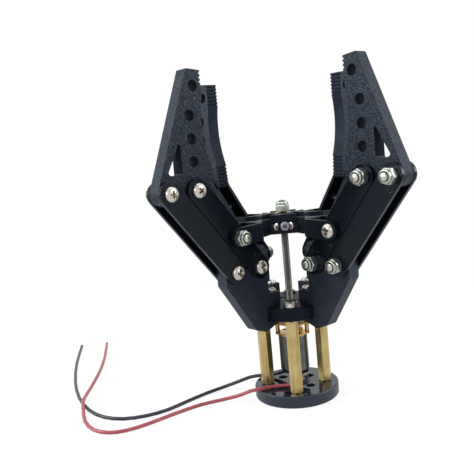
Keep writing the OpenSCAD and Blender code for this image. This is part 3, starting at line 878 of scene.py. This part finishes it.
def screws(node, axis=None):
    """Real screws in the place of a CAD node's plain ones."""
    made = bmesh.new()
    for i, points in enumerate(in_order(node)):
        foot, up, rows = measure_turned(points, axis or jaw_axis(points))
        thick = max(r for t, r in rows if t < NEAR_END)
        seat = min(t for t, r in rows if r > thick + STEP)
        top = max(t for t, r in rows)
        wide = max(r for t, r in rows)
        place = stand(up, foot + up * seat, 0.7 * i)
        join(made, head_for(2 * wide / MM, (top - seat) / MM), place)
        body = shank(thick / MM, seat / MM, max(seat / MM - THREADED, 0.1))
        join(made, body, place)
        body.free()
    piece(node + "_turned", made, plated, body_of(node), slot_of(node), node)


screws("frame_pivot_screws")
for node in ("bracket_screws", "hub_screws", "base_screws", "motor_screws"):
    screws(node, UP)
for jaw in JAWS:
    screws(jaw + "_finger_screws")
print("screw heads made:", sorted(heads))

# %% [markdown]
# Lock nuts have six flats, a chamfer at both ends, and a round collar that holds a nylon
# ring. The ring grips the thread, so the screw's end shows in the middle.

# %% Lock nuts
HEX_CORNER = math.cos(math.radians(30))
CHAMFER = 0.42


def lock_nut(flats, height, bore):
    """A nut that stands on height 0, in millimetres."""
    r = flats / 2
    corner_r = r / HEX_CORNER
    face_r = r * 0.97
    hexagon = height * 0.7
    collar = r * 0.9
    cuts = [((corner_r - face_r) * k / 4, CHAMFER * k / 4) for k in range(1, 5)]
    # The third number of each row paints shade with dirt into the bore, the collar's groove and the
    # top of the bore.
    profile = [(bore, 0.0, 0.8), (bore + 0.25, 0.0, 0.3), (face_r, 0.0, 0.0)]
    profile += [(face_r + out, up, 0.0) for out, up in cuts]
    profile += [(corner_r, hexagon - CHAMFER, 0.0)]
    profile += [(corner_r - out, hexagon - CHAMFER + up, 0.0) for out, up in cuts]
    profile += [(collar + 0.12, hexagon, 0.6), (collar, hexagon + 0.08, 0.6)]
    profile += arc(collar - 0.45, height - 0.45, 0.45, 0, 80, 5)
    profile += [(bore + 0.5, height, 0.0), (bore + 0.42, height - 0.22, 0.9),
                (bore + 0.05, height - 0.26, 1.0), (bore, height - 0.5, 1.0), (bore, 0.0, 0.8)]
    return spun(profile, 72, flats)


def nuts(node, axis=None):
    """Lock nuts in the place of a CAD node's nuts. They stand on the side of the links."""
    made = bmesh.new()
    for i, points in enumerate(in_order(node)):
        foot, down, rows = measure_turned(points, axis or jaw_axis(points))
        wide = max(r for t, r in rows)
        height = max(t for t, r in rows)
        bore = min(r for t, r in rows)
        nut = lock_nut(2 * wide * HEX_CORNER / MM, height / MM, bore / MM)
        join(made, nut, stand(-down, foot + down * height, 0.4 * i))
        nut.free()
    piece(node + "_turned", made, zinc, body_of(node), slot_of(node), node)


nuts("frame_pivot_nuts")
nuts("top_lock_nut", UP)
for jaw in JAWS:
    nuts(jaw + "_finger_nuts")
print("lock nuts made")

# %% [markdown]
# The rod's pivot node holds a screw head on one side, and a nut with a threaded stub on the
# other. Its solids are told apart by their widest radius: the nut's corners reach furthest,
# then comes the head, and the stub is the thinnest.

# %% Rod pivots
THREAD_R = 1.5
NUT_BEYOND = 2.9 * MM
HEAD_BEYOND = 2.0 * MM


def rod_pivot(jaw):
    """The pivot's screw as one piece and its lock nut as another, both on the rod."""
    node = jaw + "_rod_pivot"
    screw = bmesh.new()
    nut = bmesh.new()
    for points in solids_of(node):
        foot, up, rows = measure_turned(points, jaw_axis(points))
        wide = max(r for t, r in rows)
        top = max(t for t, r in rows)
        if wide > NUT_BEYOND:
            part = lock_nut(2 * wide * HEX_CORNER / MM, top / MM, THREAD_R + 0.02)
            join(nut, part, stand(-up, foot + up * top, 0.5))
        elif wide > HEAD_BEYOND:
            seat = min(t for t, r in rows if r > THREAD_R * MM + STEP)
            under = foot + up * seat
            join(screw, head_for(2 * wide / MM, (top - seat) / MM), stand(up, under, 0.3))
            part = shank(THREAD_R, seat / MM, 0.1)
            join(screw, part, stand(up, under))
        else:
            axis = jaw_axis(points)
            ends = [p.dot(axis) for p in points]
            inner, outer = sorted((min(ends), max(ends)), key=abs)
            away = axis if outer > 0 else -axis
            centre = foot - axis * foot.dot(axis)
            part = shank(THREAD_R, abs(outer - inner) / MM, 1.0)
            join(screw, part, stand(-away, centre + axis * inner))
        part.free()
    piece(node + "_screw", screw, plated, jaw + "_rod", "bright_screw", node)
    piece(node + "_nut", nut, zinc, jaw + "_rod", "zinc_nut", node)


for jaw in JAWS:
    rod_pivot(jaw)
print("rod pivots made")

# %% [markdown]
# ## The screw line
#
# The lead screw is an M3 thread of 0.5 mm pitch, about a hundred turns. The crosshead rides
# on it, so it is seen from close by, and rings would not do. The thread is one strip of
# faces that climbs as it goes round, so it is a true helix. A Screw modifier could make it
# too, but a few lines that place the points also give it a plain foot and a chamfered top.

# %% Lead screw
HELIX_STEPS = 18


def helix(radius, low, high):
    """A threaded rod between two heights, in millimetres, with a plain foot and a chamfered top."""
    root = radius - 0.28 * PITCH
    section = [(0.0, root), (0.18, root), (0.45, radius), (0.62, radius), (0.88, root)]
    mesh = bmesh.new()
    turns = int((high - low) / PITCH) - 1
    rings = []
    for i in range(turns * HELIX_STEPS + 1):
        turn = 2 * math.pi * i / HELIX_STEPS
        rise = low + PITCH * i / HELIX_STEPS
        x, y = math.cos(turn), math.sin(turn)
        rings.append([mesh.verts.new(Vector((r * x, r * y, rise + q * PITCH)) * MM)
                      for q, r in section])
    for i in range(len(rings) - 1):
        for k in range(len(section) - 1):
            mesh.faces.new([rings[i][k], rings[i + 1][k], rings[i + 1][k + 1], rings[i][k + 1]])
        above = i + HELIX_STEPS
        if above + 1 < len(rings):
            mesh.faces.new([rings[i][-1], rings[i + 1][-1], rings[above + 1][0], rings[above][0]])
    core = root - 0.06  # a little inside the thread's root, where it can't show through
    inner = spun([(0, low, 0), (radius, low, 0), (radius, low + PITCH, 0), (core, low + PITCH, 0),
                  (core, high - 0.3, 0), (core - 0.2, high, 0), (0, high, 0)], HELIX_STEPS)
    join(mesh, inner)
    inner.free()
    return mesh


low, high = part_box("lead_screw")
thread = helix(high.x / MM, low.z / MM, high.z / MM)
piece("lead_screw_thread", thread, screw_steel, "lead_screw", "dark_steel", "lead_screw")
softened("drive_nut", bar_brass, 0.15)
print("lead screw", round((high.z - low.z) / MM, 1), "mm")

# %% [markdown]
# The rods turn on four ground pins, whose ends show in the faces of the crosshead. Each end
# is set to a low round head.

# %% Crosshead pins
PIN_HEAD = 0.6
pins = bmesh.new()
for points in solids_of("crosshead_pins"):
    foot, up, rows = measure_turned(points, jaw_axis(points))
    r = max(q for t, q in rows) / MM
    length = max(t for t, q in rows) / MM
    wide = r + 0.35
    # Where the pin goes into the crosshead it is painted with shade and dirt.
    profile = [(0, 0, 0), (0.5 * wide, 0.04, 0), (0.8 * wide, 0.14, 0), (wide, 0.32, 0),
               (wide, 0.55, 0), (r, PIN_HEAD, 0.5)]
    profile += [(q, length + 2 * PIN_HEAD - t, shade_and_dirt) for q, t, shade_and_dirt in reversed(profile)]
    part = spun(profile, 32)
    join(pins, part, stand(up, foot - up * PIN_HEAD * MM))
    part.free()
piece("crosshead_pins_turned", pins, plated, "crosshead", "bright_screw", "crosshead_pins")
print("crosshead pins made")

# %% [markdown]
# The clamp bolt's head has a hexagon socket, cut with a prism. Its bottom is painted near-black as
# shade.

# %% Clamp bolt
SOCKET_DEPTH = 1.1
for points in solids_of("nut_clamp_bolt"):
    foot, up, rows = measure_turned(points, Vector((0, 1, 0)))
    wide = max(q for t, q in rows) / MM
    top = max(t for t, q in rows) / MM
    thin = max(q for t, q in rows if t < NEAR_END) / MM
    under = min(t for t, q in rows if q > thin * MM + STEP) / MM
    profile = [(0, 0, 0), (thin - 0.15, 0, 0), (thin, 0.2, 0), (thin, under, 0),
               (wide - 0.05, under, 0), (wide, under + 0.08, 0), (wide, top - 0.3, 0),
               (wide - 0.12, top - 0.08, 0), (wide - 0.35, top, 0), (0, top, 0)]
    floor_z = top - SOCKET_DEPTH
    prism = [(0, floor_z, 0), (wide, floor_z, 0), (wide, top + 0.4, 0), (0, top + 0.4, 0)]
    socket = spun(prism, 48, wide * 0.92)
    bolt = cut(spun(profile, 48), socket)
    # The bottom of the socket is painted as shade.
    layer = bolt.verts.layers.float.get("shade_and_grime") or bolt.verts.layers.float.new("shade_and_grime")
    for vert in bolt.verts:
        deep = top - vert.co.z / MM > 0.9
        inside = math.hypot(vert.co.x, vert.co.y) / MM < wide * 0.6
        vert[layer] = 0.7 if deep and inside else 0.0
    turned = bmesh.new()
    join(turned, bolt, stand(up, foot))
    bolt.free()
    piece("nut_clamp_bolt_turned", turned, blued, "crosshead", "dark_bolt", "nut_clamp_bolt")
print("clamp bolt made")

# %% [markdown]
# ## Motor, gears and standoffs
#
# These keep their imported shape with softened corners. The gear train is open to view
# between its plates, so the teeth stay crisp: they get only a very small radius. A lump of
# solder holds each lead to its terminal. It is a flattened sphere, made uneven by two waves.

# %% Standoffs and motor
softened("standoffs", bar_brass, 0.12)
softened("motor_can", motor_steel, 0.35, steps=3)
softened("motor_end_cap", smooth_nylon, 0.2)
softened("motor_terminals", stamped_brass, 0.04)
softened("gearbox_plates", stamped_brass, 0.08)

BEAD_R = 0.85
BEAD_OUT = 5.65 * MM
BEAD_UP = 8.5 * MM
solder = bmesh.new()
for start in (black_route[0], red_route[0]):
    outward = Vector((start[0], start[1], 0)).normalized()
    bead = spun([(0, -BEAD_R, 0)] + arc(0, 0, BEAD_R, -75, 75, 10) + [(0, BEAD_R, 0)], 20)
    for vert in bead.verts:
        vert.co.z *= 0.7
        vert.co *= 1 + 0.12 * math.sin(2300 * vert.co.x) * math.cos(1900 * vert.co.y)
    join(solder, bead, stand(outward, outward * BEAD_OUT + UP * BEAD_UP))
    bead.free()
piece("solder_beads", solder, solder_tin, "frame", "bright_screw")

softened("gearbox_pillars", stamped_brass, 0.1)
for node in ("motor_pinion", "idler_gear", "output_gear"):
    softened(node, stamped_brass, 0.02, steps=1)
print("motor ready")

# %% [markdown]
# ## Floor and light
#
# The gripper stands on a plain white floor in a white room. A Light Path node tells the
# floor and the world who is looking: the camera, polished metal and clear pieces get the
# plain white, and all other rays get the real floor, which keeps the gripper's shadow, and a
# weaker sky. So the white background adds no light to the object, and the lamps can stay at
# a plain level, at which colours render about as they are written. Close to the gripper the
# floor's white fades a little, so that the shadow is seen there.

# %% Floor
def whoever_looks(tree):
    """Gives 1 for rays of the camera and for mirrored and transmitted rays, and 0 for the rest."""
    rays = tree.nodes.new("ShaderNodeLightPath")
    total = rays.outputs["Is Camera Ray"]
    for kind in ("Is Glossy Ray", "Is Transmission Ray"):
        either = tree.nodes.new("ShaderNodeMath")
        either.operation = "MAXIMUM"
        tree.links.new(total, either.inputs[0])
        tree.links.new(rays.outputs[kind], either.inputs[1])
        total = either.outputs[0]
    return total


FLOOR_DROP = 0.02 * MM  # keeps the floor just clear of the disc's underside
floor_mesh = bmesh.new()
bmesh.ops.create_grid(floor_mesh, x_segments=1, y_segments=1, size=3.0)
floor_data = bpy.data.meshes.new("floor")
floor_mesh.to_mesh(floor_data)
floor_mesh.free()
floor = bpy.data.objects.new("floor", floor_data)
floor.location.z = -FLOOR_DROP
scene.collection.objects.link(floor)

floor_finish = bpy.data.materials.new("floor_finish")
floor_finish.use_nodes = True
floor_finish.node_tree.nodes.clear()
paper = add(floor_finish, "ShaderNodeBsdfDiffuse", Color=(0.9, 0.9, 0.9, 1))
white_sheet = add(floor_finish, "ShaderNodeEmission", Color=(1, 1, 1, 1), Strength=1.0)
middle = add(floor_finish, "ShaderNodeTexCoord")
away = add(floor_finish, "ShaderNodeVectorMath", operation="LENGTH")
fade = add(floor_finish, "ShaderNodeMapRange", interpolation_type="SMOOTHSTEP")
for socket, value in (("From Min", 0.05), ("From Max", 0.3), ("To Min", 0.84), ("To Max", 1.0)):
    fade.inputs[socket].default_value = value
share = add(floor_finish, "ShaderNodeMath", operation="MULTIPLY")
blend = add(floor_finish, "ShaderNodeMixShader")
out = add(floor_finish, "ShaderNodeOutputMaterial")
wire_up(
    floor_finish,
    (middle.outputs["Object"], away.inputs[0]),
    (away.outputs["Value"], fade.inputs["Value"]),
    (whoever_looks(floor_finish.node_tree), share.inputs[0]),
    (fade.outputs["Result"], share.inputs[1]),
    (share.outputs[0], blend.inputs["Fac"]),
    (paper.outputs[0], blend.inputs[1]),
    (white_sheet.outputs[0], blend.inputs[2]),
    (blend.outputs[0], out.inputs["Surface"]),
)
floor_data.materials.append(floor_finish)
print("floor ready")

# %% [markdown]
# The world is the sky of the room. For rays that light the object it is weaker than white,
# so that the lamps, and not the sky, model the forms.

# %% World
SKY_STRENGTH = 0.4
world = bpy.data.worlds.new("studio")
scene.world = world
world.use_nodes = True
sky = world.node_tree
sky.nodes.clear()
ambient = sky.nodes.new("ShaderNodeBackground")
ambient.inputs["Strength"].default_value = SKY_STRENGTH
white = sky.nodes.new("ShaderNodeBackground")
white.inputs["Strength"].default_value = 1.0
for glow in (ambient, white):
    glow.inputs["Color"].default_value = (1, 1, 1, 1)
seen_or_not = sky.nodes.new("ShaderNodeMixShader")
world_out = sky.nodes.new("ShaderNodeOutputWorld")
for source, into in (
    (whoever_looks(sky), seen_or_not.inputs["Fac"]),
    (ambient.outputs[0], seen_or_not.inputs[1]),
    (white.outputs[0], seen_or_not.inputs[2]),
    (seen_or_not.outputs[0], world_out.inputs["Surface"]),
):
    sky.links.new(source, into)
print("world ready")

# %% [markdown]
# Four square area lamps stand round the gripper, as softboxes would. The left one is the
# strongest, so the left faces are a little brighter. The one above lights the tops and the
# floor, and a small weak one in front fills the dark faces.

# %% Lamps
def softbox(name, place, target, size, power):
    """A square area lamp that looks at a point, in metres. Metal shows it as a highlight."""
    data = bpy.data.lights.new(name, "AREA")
    data.size = size
    data.energy = power
    lamp = bpy.data.objects.new(name, data)
    lamp.location = place
    lamp.rotation_euler = (Vector(target) - Vector(place)).to_track_quat("-Z", "Y").to_euler()
    scene.collection.objects.link(lamp)


softbox("left", (-0.6, -0.12, 0.35), (0, 0, 0.08), 0.4, 5.0)
softbox("right", (0.6, -0.05, 0.3), (0, 0, 0.08), 0.4, 3.5)
softbox("above", (0.0, 0.15, 0.7), (0, 0, 0.05), 0.5, 3.0)
softbox("front", (-0.15, -0.6, 0.3), (0, 0, 0.08), 0.15, 0.8)
print("lamps ready")

# %% [markdown]
# ## Look
#
# The Standard view shows each colour as it was written.

scene.view_settings.view_transform = "Standard"
